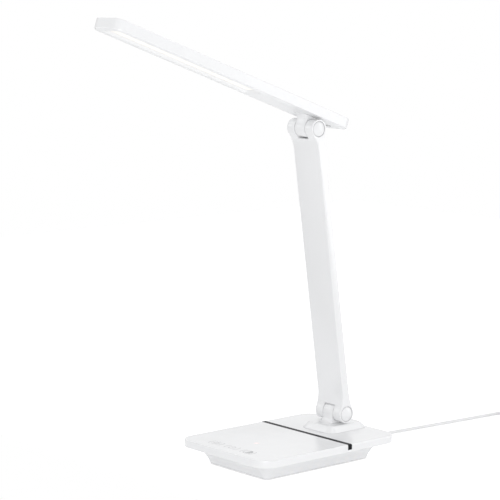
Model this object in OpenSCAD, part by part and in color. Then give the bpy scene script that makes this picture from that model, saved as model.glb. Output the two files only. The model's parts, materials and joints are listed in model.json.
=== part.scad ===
// Folding LED desk lamp: a flat base with a foot under it, an arm on a friction hinge,
// and a long LED head on a second friction hinge.
// The origin is on the desk, under the middle of the base. +Z is up and -Y is the front.

/* [Base] */
// Width of the base plate
base_w = 125; // [115:1:135]
// Length of the base plate, front to rear
base_l = 170; // [162:1:185]
// Corner radius of the base plate, seen from above
base_r = 16; // [12:1:20]
// Thickness of the base plate
plate_t = 7.2; // [6.8:0.1:9]
// Wall of the covers of the base
base_wall = 2.4; // [2:0.1:2.8]
// Depth of the foot under the plate
foot_h = 16.4; // [14:0.1:20]
// How far the foot's side stands in from the plate's edge, halfway up its cove
foot_inset = 17.6; // [16:0.1:20]
// Corner radius of the foot, halfway up its cove
foot_r = 7.5; // [7:0.5:10]
// Thickness of the rubber pad that the lamp rests on
pad_t = 1.6; // [1.2:0.1:2]
// Width of the black inlay strip
strip_w = 5; // [2:0.5:8]
// Thickness of the black inlay strip
strip_t = 0.8; // [0.6:0.1:1.2]
// Distance of the black inlay strip from the rear edge of the base
strip_setback = 64; // [61:1:70]
// Thickness of the steel ballast plate
ballast_t = 6; // [4:0.5:8]
// Height of the pedestal
pedestal_h = 5.6; // [4:0.1:5.8]
// Width of the pedestal's top
pedestal_w = 34.2; // [32:0.2:40]
// Length of the pedestal's top, front to rear
pedestal_l = 38.6; // [36:0.2:40]
// How far the pedestal spreads from its top to its bottom, on each side
pedestal_spread = 5.5; // [3:0.5:6]

/* [Hinges] */
// Height of the lower hinge line above the base plate
hinge_rise = 15.4; // [15:0.1:17]
// Distance of the lower hinge line from the rear edge of the base
hinge_setback = 26.4; // [26:0.2:30]
// Radius of the round hinge eyes of the arm
eye_r = 8.75; // [8.4:0.05:9]
// Radius of the round end of a hinge tongue
tongue_r = 8.6; // [8:0.05:8.7]
// Width of a hinge tongue
tongue_w = 13.4; // [12:0.2:15]
// Gap on each side of a hinge tongue, filled by a friction washer
washer_gap = 0.6; // [0.5:0.1:1]
// Radius of the shank of a hinge bolt
bolt_r = 3; // [2.5:0.1:3.4]
// Clearance around the shank of a hinge bolt
bolt_clearance = 0.05; // [0.02:0.01:0.1]
// Radius of the domed caps over the hinge bolts
cap_r = 7.4; // [6.8:0.1:7.6]
// How far the domed caps stand out of the arm
cap_dome = 1.8; // [1:0.1:2.5]

/* [Arm] */
// Length of the arm between its two hinge lines
arm_l = 278.8; // [240:0.2:320]
// Width of the arm
arm_w = 35; // [33:0.5:38]
// How far the arm's front face stands in front of its hinge lines
arm_front = 2.75; // [2.5:0.05:3.5]
// How far the arm's rear face stands behind its hinge lines
arm_rear = 5.25; // [5:0.05:6]
// Length over which the arm swells from a flat blade into a hinge eye
arm_swell = 21; // [18:0.5:26]
// How far the arm leans forward from upright
lean = 7.8; // [0:0.1:15]
// Thickness of the arm's rear cover
arm_cover_t = 1.6; // [1.2:0.1:2]

/* [Head] */
// Width of the head
head_w = 40; // [38:0.5:44]
// Thickness of the head
head_t = 9.9; // [9:0.1:13]
// Length of the head in front of its hinge line
head_front = 252; // [225:1:256]
// Length of the head behind its hinge line
head_rear = 36.4; // [30:0.2:45]
// Corner radius of the head
head_r = 9.5; // [7:0.5:12]
// How far the head's underside lies above its hinge line
head_rise = 10.6; // [10.2:0.1:12]
// How far the front of the head is tilted up from level
tilt = 20.2; // [0:0.1:40]
// Wall of the head's shell
head_wall = 2; // [1.6:0.1:2.4]
// Width of the light trough at the underside
trough_w = 24; // [20:0.5:26]
// Width of the light trough at its bottom
trough_floor_w = 20; // [16:0.5:20]
// Depth of the light trough
trough_depth = 2.5; // [2.2:0.1:3]
// Distance of the light trough from the head's tip
trough_tip = 7; // [6:0.5:20]
// Length of the light trough
trough_l = 172.5; // [140:0.5:180]
// Thickness of the diffuser strip
diffuser_t = 1.5; // [1:0.1:1.8]

/* [Cord] */
// Diameter of the power cord
cord_d = 3.2; // [2.8:0.1:3.4]
// Place of the cord gland, to the side of the middle of the base
cord_x = -18; // [-24:1:-12]
// Turns of the put-away cord in its lower layer
coil_turns = 5; // [3:1:6]
// Radius of the innermost turn of the coil
coil_in_r = 10; // [8:0.5:14]

/* [Hidden] */
$fn = 64;

// Overlap that makes cuts clean, and the play between pieces that slip into each other
cut = 0.1;
slip = 0.2;

// Colours, as the lamp shows them
white = [0.95, 0.95, 0.96];
shade_white = [0.88, 0.89, 0.91];
black = [0.07, 0.07, 0.08];
steel = [0.62, 0.64, 0.66];
brass = [0.78, 0.64, 0.36];
board_green = [0.10, 0.34, 0.20];
milky = [1.0, 0.97, 0.88];
salmon = [1.0, 0.7, 0.6];
rubber_grey = [0.45, 0.46, 0.48];
cable_grey = [0.86, 0.86, 0.87];

// Heights in the base, from the desk up
pad_proud = 0.6;
foot_z = pad_proud;
plate_z = foot_z + foot_h;
top_z = plate_z + plate_t;
ceiling_z = top_z - base_wall;
flange_t = 2;
lip_t = base_wall / 2;
floor_z = foot_z + base_wall;

// Edges of the plate
plate_top_round = 1;
plate_low_round = 0.5;

// The foot's outline: a small rounded toe, and a hollow cove that flares out to the plate above it
foot_w = base_w - 2 * foot_inset;
foot_l = base_l - 2 * foot_inset;
foot_toe_in = 2.8;
foot_toe_r = 0.8;
foot_flare = 12.4;
foot_bend = 1.6;
foot_cove_out = foot_flare - foot_toe_in;
foot_steps = 12;

// The rubber pad
pad_margin = 3;
pad_w = foot_w - 2 * foot_toe_in - 2 * pad_margin;
pad_l = foot_l - 2 * foot_toe_in - 2 * pad_margin;
pad_r = 3;

// Screw posts between the housing and the cover
post_r = 4.2;
post_gap = 1;
post_x = foot_w / 2 - foot_toe_in - base_wall - post_r - post_gap;
post_front_in = 17.4;
post_rear_in = 23.4;
post_front_y = -foot_l / 2 + post_front_in;
post_rear_y = foot_l / 2 - post_rear_in;
post_top_z = floor_z + 6;
post_places = [for (sx = [-1, 1], y = [post_front_y, post_rear_y]) [sx * post_x, y]];
screw_r = 1.5;
screw_head_r = 2.8;
screw_head_h = 1.8;
screw_hole_r = screw_r + 0.2;
thread_r = screw_r + 0.03;
screw_head_z = foot_z + 2.4;
base_screw_l = 12;

// The light pipe of the indicator and the touch board under the plate's top
lens_in = 42.7;
lens_x = 2.5;
lens_y = -base_l / 2 + lens_in;
lens_r = 1.2;
lens_play = 0.05;
touch_board_t = 1.2;
touch_board_edge = 5;
touch_board_w = 2 * (post_x - post_r - 2 * post_gap);
touch_board_front_y = -base_l / 2 + touch_board_edge;
touch_board_rear_y = lens_y + touch_board_edge;
touch_board_r = 2;

// The ballast and the main board on the housing's floor
board_w = 52;
board_l = 28;
board_in = 7.4;
board_gap = 3;
board_rear_y = foot_l / 2 - board_in;
board_front_y = board_rear_y - board_l;
ballast_w = 2 * (post_x - post_r - post_gap);
ballast_r = 4;
ballast_front_in = 19.4;
ballast_front_y = -foot_l / 2 + ballast_front_in;
ballast_rear_y = board_front_y - board_gap;
board_t = 1.6;
board_r = 1.5;
capacitor_r = 3.2;
capacitor_h = 7;
capacitor_x = -8;
choke_w = 9;
choke_h = 3.5;
choke_x = 7.5;
chip_w = 5;
chip_h = 1.5;
chip_x = -17;
standoff_h = 3;
standoff_r = 2.6;
board_z = floor_z + standoff_h;
board_screw_r = 1;
board_hole_in = 4;
board_places = [for (sx = [-1, 1], y = [board_front_y + board_hole_in, board_rear_y - board_hole_in])
    [sx * (board_w / 2 - board_hole_in), y]];

// The pedestal: a low pyramid with rounded corners and a hinge tongue on top
pedestal_r = 3.7;
pedestal_z = top_z + pedestal_h;
pedestal_screw_x = 12;
pedestal_screw_y = 14;
pedestal_screw_l = 6;

// The black strip and the hinges
strip_y = base_l / 2 - strip_setback;
lower_y = base_l / 2 - hinge_setback;
lower_z = top_z + hinge_rise;
upper_y = lower_y - arm_l * sin(lean);
upper_z = lower_z + arm_l * cos(lean);
tongue_foot_reach = 7.1;
tongue_foot_h = 5;
tongue_steps = 8;
slot_w = tongue_w + 2 * washer_gap;
slot_end = eye_r + 0.45;
cap_seat_t = 1.3;
cap_slip = 0.1;
cap_groove = 0.6;
pocket_r = cap_r - 1;
bolt_head_r = 5.2;
bolt_head_h = 2.4;
spring_washer_h = 0.8;
nut_h = 3.2;
nut_flats = 9;
pocket_d = cap_seat_t + 4.2;
ear_floor_x = arm_w / 2 - pocket_d;
friction_washer_play = 0.05;
friction_washer_r = tongue_r - 3;

// The arm's hollow back
arm_front_wall = 2;
arm_cover_w = arm_w - 8;
arm_cover_end = arm_swell + 8;
arm_cover_r = 3;
arm_seat = 2;
arm_cover_play = 0.15;
arm_wire_r = 1.2;

// The head, drawn level, with its hinge line at the origin
head_under_z = head_rise;
head_top_z = head_rise + head_t;
head_l = head_front + head_rear;
head_mid_y = (head_rear - head_front) / 2;
head_round = 0.8;
head_lip_t = head_wall / 2;
head_cover_t = 2;
head_cover_top_z = head_under_z + head_cover_t;
head_ceiling_z = head_top_z - head_wall;
trough_rear = head_front - trough_tip - trough_l;
trough_mid_y = -(trough_rear + trough_l / 2);
trough_r = 2;
trough_top_z = head_under_z + trough_depth;
trough_border = 3;
diffuser_w = trough_floor_w + 4;
diffuser_l = trough_l;
diffuser_top_z = trough_top_z + diffuser_t;
led_board_t = 1.2;
led_board_w = 15;
led_size = 3;
led_h = 0.8;
led_pitch = 9;
led_count = floor((trough_l - 12) / led_pitch);
reflector_t = 1.2;
anchor_w = 26;
anchor_l = 34;
anchor_t = 1.5;
bracket_screw_y = 5.5;
bracket_screw_l = 5;
head_wire_r = 0.9;

// The power cord and its gland
gland_z = 7.4;
gland_r = 3.2;
gland_play = 0.05;
gland_flange_r = 4.2;
gland_flange_t = 1.2;
gland_inner_r = 3.9;
gland_inner_t = 1.5;
gland_groove = base_wall + 0.6;
gland_boss_r = 5;
gland_boss_out = 4.6;
gland_tip_r = 2.3;
gland_tip_l = 18;
wall_y = foot_l / 2;
gland_seat_y = wall_y + gland_boss_out;
gland_inner_y = wall_y - gland_groove;
gland_end_y = gland_seat_y + gland_flange_t + gland_tip_l;

// The cord's route on the desk, from the gland to the coil
rest_z = 1.7;
coil_start = [-1.8, 318, 2.3];
lead_route = [
    [cord_x, gland_end_y, gland_z],
    [cord_x, gland_end_y + 6, gland_z],
    [-17.9, 102, 7], [-17.4, 109, 6.1], [-16.9, 116, 5], [-16.4, 123, 3.8], [-15.8, 130, 2.7],
    [-15.3, 137, 2], [-14.6, 144, rest_z], [-13.9, 152, rest_z], [-13.2, 160, rest_z],
    [-12.4, 170, rest_z], [-11.6, 180, rest_z], [-10.8, 190, rest_z], [-10, 200, rest_z],
    [-9.3, 210, rest_z], [-8.5, 220, rest_z], [-7.7, 230, rest_z], [-6.9, 240, rest_z],
    [-6.1, 250, rest_z], [-5.4, 260, rest_z], [-4.6, 270, rest_z], [-3.9, 280, rest_z],
    [-3.1, 290, rest_z], [-2.4, 299, 1.8], [-1.9, 307, 2.1], [-1.8, 313, 2.3], coil_start];

// The coil: a spiral in along the desk, a climb in the half turn where it reverses, and a spiral out
coil_gap = 0.45;
coil_pitch = cord_d + coil_gap;
coil_rise = 0.5;
coil_out_turns = coil_turns - 0.25;
coil_all_turns = coil_turns + coil_rise + coil_out_turns;
coil_out_r = coil_in_r + coil_pitch * coil_turns;
coil_low_z = coil_start[2];
coil_centre = [coil_start[0] + coil_out_r, coil_start[1] + cord_d];
rings_per_turn = 24;
coil_sides = 6;
lead_sides = 8;
plug_z = 4;
plug_run = 22;
plug_grip_l = 22;
plug_grip_w = 13;
plug_grip_h = 2 * plug_z;
plug_shell_l = 12;
plug_shell_w = 12;
plug_shell_h = 4.5;
tie_w = 8;
tie_t = 0.6;
tie_angle = -45;

function coil_radius(t) =
    t < coil_turns + coil_rise / 2
        ? coil_out_r - coil_pitch * t
        : coil_in_r - coil_pitch * coil_rise + coil_pitch * (t - coil_turns);

function coil_height(t) =
    coil_low_z + coil_pitch * min(1, max(0, (t - coil_turns) / coil_rise));

function coil_point(t) =
    let (a = 180 - 360 * t, r = coil_radius(t))
    [coil_centre[0] + r * cos(a), coil_centre[1] + r * sin(a), coil_height(t)];

coil_steps = round(coil_all_turns * rings_per_turn);
coil_turn_points = [for (i = [0:coil_steps]) coil_point(i * coil_all_turns / coil_steps)];
coil_end = coil_turn_points[coil_steps];
plug_start = [coil_end[0] + plug_run, coil_end[1] + 1.5, plug_z];
coil_route = concat(
    [coil_start],
    coil_turn_points,
    [coil_end + [6, 0.6, -0.2], coil_end + [12, 1.3, -0.9], plug_start - [cord_d, 0, 0], plug_start]);

// The least distance between turns, measured on the points of the spiral that are a turn apart or more
coil_least_gap = min([
    for (i = [0:coil_steps], j = [i + floor(rings_per_turn / 2):coil_steps])
        if (norm([coil_turn_points[i][0] - coil_turn_points[j][0],
                  coil_turn_points[i][1] - coil_turn_points[j][1]]) < 2 * cord_d)
            norm(coil_turn_points[i] - coil_turn_points[j])]) - cord_d;
echo(coil_least_gap = coil_least_gap);

function route_length(route) =
    let (steps = [for (i = [1:len(route) - 1]) norm(route[i] - route[i - 1])])
    steps * [for (s = steps) 1];
echo(cord_length = route_length(lead_route) + route_length(coil_route));

// A tube along a route that never stands upright, with flat square ends
function unit(v) = v / norm(v);
function heading(route, i) = unit(route[min(i + 1, len(route) - 1)] - route[max(i - 1, 0)]);

module tube(route, r, sides) {
    rings = len(route);
    points = [for (i = [0:rings - 1])
        let (ahead = heading(route, i), side = unit(cross(ahead, [0, 0, 1])), above = cross(side, ahead))
        for (k = [0:sides - 1])
            let (a = 360 * (k + 0.5) / sides) route[i] + r * (cos(a) * side + sin(a) * above)];
    walls = [for (i = [0:rings - 2], k = [0:sides - 1])
        let (n = (k + 1) % sides)
        each [[i * sides + k, (i + 1) * sides + n, i * sides + n],
              [i * sides + k, (i + 1) * sides + k, (i + 1) * sides + n]]];
    near_cap = [for (k = [1:sides - 2]) [0, k, k + 1]];
    far = (rings - 1) * sides;
    far_cap = [for (k = [1:sides - 2]) [far, far + k + 1, far + k]];
    polyhedron(points, concat(walls, near_cap, far_cap));
}

// A flat rectangle with round corners
module rounded_rect(w, l, r) {
    square([w - 2 * r, l], center = true);
    square([w, l - 2 * r], center = true);
    for (sx = [-1, 1], sy = [-1, 1])
        translate([sx * (w / 2 - r), sy * (l / 2 - r)])
            circle(r);
}

// A slab with upright walls and round corners, from z up to z + h
module slab(w, l, r, z, h) {
    translate([0, 0, z])
        linear_extrude(h)
            rounded_rect(w, l, r);
}

// The edge of a slab with a rounded lower and upper edge, as points of [outwards, height]
function rounded_edge(z0, z1, low_round, top_round, steps = 4) = concat(
    [for (i = [0:steps]) let (a = 90 * i / steps)
        [-low_round + low_round * sin(a), z0 + low_round - low_round * cos(a)]],
    [for (i = [0:steps]) let (a = 90 * i / steps)
        [-top_round + top_round * cos(a), z1 - top_round + top_round * sin(a)]]);

// A slab whose edge follows a profile all round: flat sides, with the same profile turned at the corners
module profiled_slab(w, l, r, edge) {
    low = edge[0][1];
    high = edge[len(edge) - 1][1];
    half = concat([[0, low]], [for (p = edge) [r + p[0], p[1]]], [[0, high]]);
    run_x = w / 2 - r;
    run_y = l / 2 - r;
    translate([0, 0, low])
        linear_extrude(high - low)
            square([2 * run_x, 2 * run_y], center = true);
    for (turn = [0, 180])
        rotate([0, 0, turn]) {
            translate([run_x, 0, 0])
                rotate([90, 0, 0])
                    linear_extrude(2 * run_y, center = true)
                        polygon(half);
            translate([0, run_y, 0])
                rotate([90, 0, 90])
                    linear_extrude(2 * run_x, center = true)
                        polygon(half);
            translate([run_x, run_y, 0])
                rotate_extrude(angle = 90)
                    polygon(half);
            translate([-run_x, run_y, 0])
                rotate([0, 0, 90])
                    rotate_extrude(angle = 90)
                        polygon(half);
        }
}

// A round screw from below: a flat head and a plain shank, its head's lower face at z
module screw_up(head_r, head_h, shank_r, shank_l) {
    cylinder(r = head_r, h = head_h);
    translate([0, 0, head_h])
        cylinder(r = shank_r, h = shank_l);
}

// ---- Base ----

module plate_body() {
    profiled_slab(base_w, base_l, base_r,
        rounded_edge(plate_z, top_z, plate_low_round, plate_top_round));
}

// The space that the black strip takes: across the top and down both side walls
module strip_space() {
    down = 0.7 * plate_t;
    translate([-base_w / 2 - 1, strip_y - strip_w / 2, top_z - strip_t])
        cube([base_w + 2, strip_w, strip_t + 1]);
    for (side = [0, 1])
        mirror([side, 0, 0])
            translate([base_w / 2 - strip_t, strip_y - strip_w / 2, top_z - down])
                cube([strip_t + 1, strip_w, down + 1]);
}

module base_cover() {
    inner_r = base_r - base_wall;
    color(white)
        difference() {
            union() {
                difference() {
                    plate_body();
                    slab(base_w - 2 * base_wall, base_l - 2 * base_wall, inner_r,
                        plate_z - cut, ceiling_z - plate_z + cut);
                    slab(base_w - 2 * lip_t, base_l - 2 * lip_t, base_r - lip_t,
                        plate_z - cut, flange_t + cut);
                }
                for (place = post_places)
                    translate([place[0], place[1], post_top_z])
                        cylinder(r = post_r - 0.6, h = ceiling_z - post_top_z + cut);
            }
            strip_space();
            for (place = post_places)
                translate([place[0], place[1], post_top_z - cut])
                    cylinder(r = thread_r, h = base_screw_l);
            for (sx = [-1, 1], sy = [-1, 1])
                translate([sx * pedestal_screw_x, lower_y + sy * pedestal_screw_y, ceiling_z - cut])
                    cylinder(r = screw_hole_r, h = base_wall + 2 * cut);
            translate([lens_x, lens_y, ceiling_z - cut])
                cylinder(r = lens_r + lens_play, h = base_wall + 2 * cut);
        }
}

module inlay_strip() {
    color(black)
        intersection() {
            plate_body();
            strip_space();
        }
}

module indicator_lens() {
    color(salmon)
        translate([lens_x, lens_y, ceiling_z])
            cylinder(r = lens_r, h = base_wall);
}

module touch_board() {
    color(board_green)
        translate([0, (touch_board_front_y + touch_board_rear_y) / 2, 0])
            slab(touch_board_w, touch_board_rear_y - touch_board_front_y, touch_board_r,
                ceiling_z - touch_board_t, touch_board_t);
}

// The foot's profile, as points of [outwards from the rim, height], drawn in by a wall's thickness
function foot_edge(wall, low_z, high_z) =
    let (outer = concat(
        [for (a = [0:30:60]) [-foot_toe_in - foot_toe_r * (1 - sin(a)), foot_z + foot_toe_r * (1 - cos(a))]],
        [for (i = [0:foot_steps]) let (rise = foot_toe_r + (foot_h - foot_toe_r) * i / foot_steps)
            [-foot_toe_in + foot_flare * pow(rise / foot_h, foot_bend), foot_z + rise]]))
    concat(
        [[-foot_toe_in - (wall > 0 ? 0 : foot_toe_r) - wall, low_z]],
        [for (p = outer) if (p[1] > low_z + 0.01 && p[1] < high_z - 0.01) [p[0] - wall, p[1]]],
        [[foot_cove_out - wall, high_z]]);

// The upright boss that the cord's gland sits in
module gland_boss() {
    translate([cord_x, gland_inner_y, gland_z])
        rotate([-90, 0, 0])
            cylinder(r = gland_boss_r, h = gland_seat_y - gland_inner_y);
}

module base_housing() {
    flange_slip = slip / 2;
    color(white)
        difference() {
            union() {
                slab(base_w - 2 * lip_t - 2 * flange_slip, base_l - 2 * lip_t - 2 * flange_slip,
                    base_r - lip_t - flange_slip, plate_z, flange_t);
                profiled_slab(foot_w, foot_l, foot_r, foot_edge(0, foot_z, plate_z));
                gland_boss();
            }
            difference() {
                union() {
                    profiled_slab(foot_w, foot_l, foot_r, foot_edge(base_wall, floor_z, plate_z));
                    slab(foot_w + 2 * (foot_cove_out - base_wall), foot_l + 2 * (foot_cove_out - base_wall),
                        foot_r + foot_cove_out - base_wall, plate_z - cut, flange_t + 2 * cut);
                }
                for (place = post_places)
                    translate([place[0], place[1], foot_z])
                        cylinder(r = post_r, h = post_top_z - foot_z);
                for (place = board_places)
                    translate([place[0], place[1], foot_z])
                        cylinder(r = standoff_r, h = board_z - foot_z);
                gland_boss();
            }
            for (place = post_places)
                translate([place[0], place[1], foot_z - cut]) {
                    cylinder(r = screw_head_r + 0.3, h = screw_head_z + screw_head_h - foot_z + cut);
                    cylinder(r = screw_hole_r, h = post_top_z);
                }
            for (place = board_places)
                translate([place[0], place[1], board_z - 2.4])
                    cylinder(r = board_screw_r + 0.03, h = 3);
            slab(pad_w + slip, pad_l + slip, pad_r, foot_z - cut, pad_t - pad_proud + cut);
            translate([cord_x, 0, gland_z])
                rotate([-90, 0, 0]) {
                    cylinder(r = gland_r + gland_play, h = gland_seat_y + 1);
                    translate([0, 0, gland_inner_y - 2 * gland_inner_t])
                        cylinder(r = gland_inner_r + 2 * gland_play, h = 2 * gland_inner_t);
                }
        }
}

module rest_pad() {
    color(rubber_grey)
        slab(pad_w, pad_l, pad_r, 0, pad_t);
}

module base_screws() {
    color(steel)
        for (place = post_places)
            translate([place[0], place[1], screw_head_z])
                screw_up(screw_head_r, screw_head_h, screw_r, base_screw_l);
}

module ballast_plate() {
    color(steel)
        translate([0, (ballast_front_y + ballast_rear_y) / 2, 0])
            slab(ballast_w, ballast_rear_y - ballast_front_y, ballast_r, floor_z, ballast_t);
}

module main_board() {
    mid_y = (board_front_y + board_rear_y) / 2;
    part_z = board_z + board_t - cut;
    difference() {
        union() {
            color(board_green)
                translate([0, mid_y, 0])
                    slab(board_w, board_l, board_r, board_z, board_t);
            color(black) {
                translate([capacitor_x, mid_y, part_z])
                    cylinder(r = capacitor_r, h = capacitor_h + cut);
                translate([choke_x, mid_y, part_z])
                    linear_extrude(choke_h + cut)
                        square(choke_w, center = true);
                translate([chip_x, mid_y, part_z])
                    linear_extrude(chip_h + cut)
                        square(chip_w, center = true);
            }
        }
        for (place = board_places)
            translate([place[0], place[1], board_z - cut])
                cylinder(r = board_screw_r + 0.1, h = board_t + 2 * cut);
    }
}

module board_screws() {
    color(steel)
        for (place = board_places)
            translate([place[0], place[1], board_z + board_t + 1.2])
                rotate([180, 0, 0])
                    screw_up(1.9, 1.2, board_screw_r, 3.6);
}

module cord_gland() {
    inner_y = gland_inner_y;
    color(cable_grey)
        translate([cord_x, 0, gland_z])
            rotate([-90, 0, 0])
                rotate_extrude()
                    polygon([
                        [0, inner_y - gland_inner_t], [gland_inner_r, inner_y - gland_inner_t],
                        [gland_inner_r, inner_y],
                        [gland_r, inner_y], [gland_r, gland_seat_y], [gland_flange_r, gland_seat_y],
                        [gland_flange_r, gland_seat_y + gland_flange_t * 0.6],
                        [gland_flange_r - 0.5, gland_seat_y + gland_flange_t],
                        [gland_r - 0.2, gland_seat_y + gland_flange_t],
                        [gland_tip_r, gland_end_y], [0, gland_end_y]]);
}

// ---- Hinges ----

// Half of a tongue's outline, from its spread foot up to the hinge line, drop below that line
tongue_neck = tongue_r - 0.1;
function tongue_side(drop) = [for (i = [0:tongue_steps]) let (a = 90 * i / tongue_steps)
    [tongue_neck + tongue_foot_reach * (1 - sin(a)), -drop + tongue_foot_h * (1 - cos(a))]];

// A hinge tongue that stands on a face, drop below the hinge line, and is bored for the bolt
module tongue(drop) {
    side = tongue_side(drop);
    rotate([90, 0, 90])
        difference() {
            translate([0, 0, -tongue_w / 2])
                linear_extrude(tongue_w)
                    union() {
                        polygon(concat(
                            side, [[tongue_neck, 0], [-tongue_neck, 0]],
                            [for (i = [len(side) - 1:-1:0]) [-side[i][0], side[i][1]]]));
                        circle(tongue_r);
                    }
            translate([0, 0, -tongue_w])
                cylinder(r = bolt_r + bolt_clearance, h = 2 * tongue_w);
        }
}

module pedestal() {
    color(white)
        difference() {
            union() {
                translate([0, lower_y, 0])
                    profiled_slab(pedestal_w, pedestal_l, pedestal_r,
                        [[pedestal_spread, top_z], [pedestal_spread, top_z + 0.3],
                         [0.3, pedestal_z - 0.2], [0, pedestal_z]]);
                translate([0, lower_y, lower_z])
                    tongue(hinge_rise - pedestal_h);
            }
            for (sx = [-1, 1], sy = [-1, 1])
                translate([sx * pedestal_screw_x, lower_y + sy * pedestal_screw_y, top_z - cut])
                    cylinder(r = thread_r, h = pedestal_h - 1.2 + cut);
        }
}

module pedestal_screws() {
    color(steel)
        for (sx = [-1, 1], sy = [-1, 1])
            translate([sx * pedestal_screw_x, lower_y + sy * pedestal_screw_y, ceiling_z - screw_head_h])
                screw_up(screw_head_r, screw_head_h, screw_r, pedestal_screw_l);
}

// Places children at a hinge of the arm, turned with the arm
module at_lower_hinge() {
    translate([0, lower_y, lower_z])
        rotate([lean, 0, 0])
            children();
}

module at_upper_hinge() {
    translate([0, upper_y, upper_z])
        rotate([lean, 0, 0])
            children();
}

module bolt() {
    color(steel)
        rotate([0, 90, 0]) {
            translate([0, 0, ear_floor_x])
                cylinder(r = bolt_head_r, h = bolt_head_h);
            translate([0, 0, -ear_floor_x - spring_washer_h - nut_h])
                cylinder(r = bolt_r, h = 2 * ear_floor_x + spring_washer_h + nut_h + cut);
        }
}

module nut() {
    color(brass)
        translate([-ear_floor_x - spring_washer_h - nut_h, 0, 0])
            rotate([0, 90, 0])
                difference() {
                    cylinder(r = nut_flats / 2 / cos(30), h = nut_h, $fn = 6);
                    translate([0, 0, -cut])
                        cylinder(r = bolt_r + bolt_clearance, h = nut_h + 2 * cut);
                }
}

module spring_washer() {
    color(steel)
        translate([-ear_floor_x - spring_washer_h, 0, 0])
            rotate([0, 90, 0])
                difference() {
                    cylinder(r = pocket_r - 0.8, h = spring_washer_h);
                    translate([0, 0, -cut])
                        cylinder(r = bolt_r + bolt_clearance, h = spring_washer_h + 2 * cut);
                }
}

module friction_washers() {
    washer_t = washer_gap - 2 * friction_washer_play;
    color(brass)
        for (side = [-1, 1])
            translate([side * (tongue_w / 2 + washer_gap / 2), 0, 0])
                rotate([0, 90, 0])
                    difference() {
                        cylinder(r = friction_washer_r, h = washer_t, center = true);
                        cylinder(r = bolt_r + bolt_clearance, h = washer_t + 2 * cut, center = true);
                    }
}

// Two caps: a disc that fills the seat in the arm's side, with a low dome on it
module caps() {
    dome_r = cap_r - cap_groove;
    ball_r = (dome_r * dome_r + cap_dome * cap_dome) / (2 * cap_dome);
    color(white)
        for (side = [0, 1])
            mirror([side, 0, 0])
                translate([arm_w / 2, 0, 0])
                    rotate([0, 90, 0])
                        union() {
                            translate([0, 0, -cap_seat_t])
                                cylinder(r = cap_r, h = cap_seat_t - cap_groove);
                            intersection() {
                                translate([0, 0, -cap_seat_t])
                                    cylinder(r = dome_r, h = cap_seat_t + cap_dome + 1);
                                union() {
                                    translate([0, 0, cap_dome - ball_r])
                                        sphere(ball_r, $fn = 96);
                                    translate([0, 0, -cap_seat_t])
                                        cylinder(r = dome_r, h = cap_seat_t);
                                }
                            }
                        }
}

module lower_bolt() { at_lower_hinge() bolt(); }
module lower_nut() { at_lower_hinge() nut(); }
module lower_spring_washer() { at_lower_hinge() spring_washer(); }
module lower_friction_washers() { at_lower_hinge() friction_washers(); }
module lower_caps() { at_lower_hinge() caps(); }
module upper_bolt() { at_upper_hinge() bolt(); }
module upper_nut() { at_upper_hinge() nut(); }
module upper_spring_washer() { at_upper_hinge() spring_washer(); }
module upper_friction_washers() { at_upper_hinge() friction_washers(); }
module upper_caps() { at_upper_hinge() caps(); }

// ---- Arm ----

// One side of the arm's outline at its lower end, from the eye to the flat face, depth out from the hinge
// line: a hollow arc that meets the flat face and dips just into the eye. Points are [depth, height].
arc_steps = 10;
eye_dip = 0.1;
function swell_radius(depth) =
    let (r = eye_r - eye_dip)
    (arm_swell * arm_swell / (r - depth) - (r + depth)) / 2;
function swell_arc(depth) =
    let (arc_r = swell_radius(depth), from = atan2(-arm_swell, depth + arc_r))
    [for (i = [0:arc_steps]) let (a = from * (1 - i / arc_steps))
        [depth + arc_r - arc_r * cos(a), arm_swell + arc_r * sin(a)]];

module arm_outline() {
    front = swell_arc(arm_front);
    rear = swell_arc(arm_rear);
    polygon(concat(
        [for (p = front) [-p[0], p[1]]],
        [for (i = [arc_steps:-1:0]) [-front[i][0], arm_l - front[i][1]]],
        [for (p = rear) [p[0], arm_l - p[1]]],
        [for (i = [arc_steps:-1:0]) rear[i]]));
}

module arm_shell() {
    channel_w = arm_cover_w - 2 * arm_seat;
    channel_l = arm_l - 2 * arm_cover_end;
    color(white)
        at_lower_hinge()
            difference() {
                rotate([90, 0, 90])
                    union() {
                        linear_extrude(arm_w, center = true)
                            arm_outline();
                        for (eye = [0, arm_l])
                            translate([0, eye, -arm_w / 2])
                                cylinder(r = eye_r, h = arm_w);
                    }
                // forks for the tongues
                for (flip = [0, 1])
                    translate([0, 0, flip * arm_l])
                        mirror([0, 0, flip])
                            translate([-slot_w / 2, -2 * eye_r, -2 * eye_r])
                                cube([slot_w, 4 * eye_r, 2 * eye_r + slot_end]);
                // bolt holes, pockets for head and nut, and seats for the caps
                for (z = [0, arm_l], side = [0, 1])
                    translate([0, 0, z])
                        mirror([side, 0, 0])
                            rotate([0, 90, 0]) {
                                cylinder(r = bolt_r + bolt_clearance, h = arm_w);
                                translate([0, 0, ear_floor_x])
                                    cylinder(r = pocket_r, h = arm_w);
                                translate([0, 0, arm_w / 2 - cap_seat_t])
                                    cylinder(r = cap_r + cap_slip, h = arm_w);
                            }
                // hollow back with a seat for the cover
                translate([0, -arm_front + arm_front_wall, arm_l / 2])
                    rotate([-90, 0, 0])
                        linear_extrude(2 * eye_r)
                            rounded_rect(channel_w, channel_l - 2 * arm_seat, arm_cover_r);
                translate([0, arm_rear - arm_cover_t, arm_l / 2])
                    rotate([-90, 0, 0])
                        linear_extrude(eye_r)
                            rounded_rect(arm_cover_w + 2 * arm_cover_play,
                                channel_l + 2 * arm_cover_play, arm_cover_r + arm_cover_play);
            }
}

module arm_cover() {
    color(shade_white)
        at_lower_hinge()
            translate([0, arm_rear - arm_cover_t, arm_l / 2])
                rotate([-90, 0, 0])
                    linear_extrude(arm_cover_t)
                        rounded_rect(arm_cover_w, arm_l - 2 * arm_cover_end, arm_cover_r);
}

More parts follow.
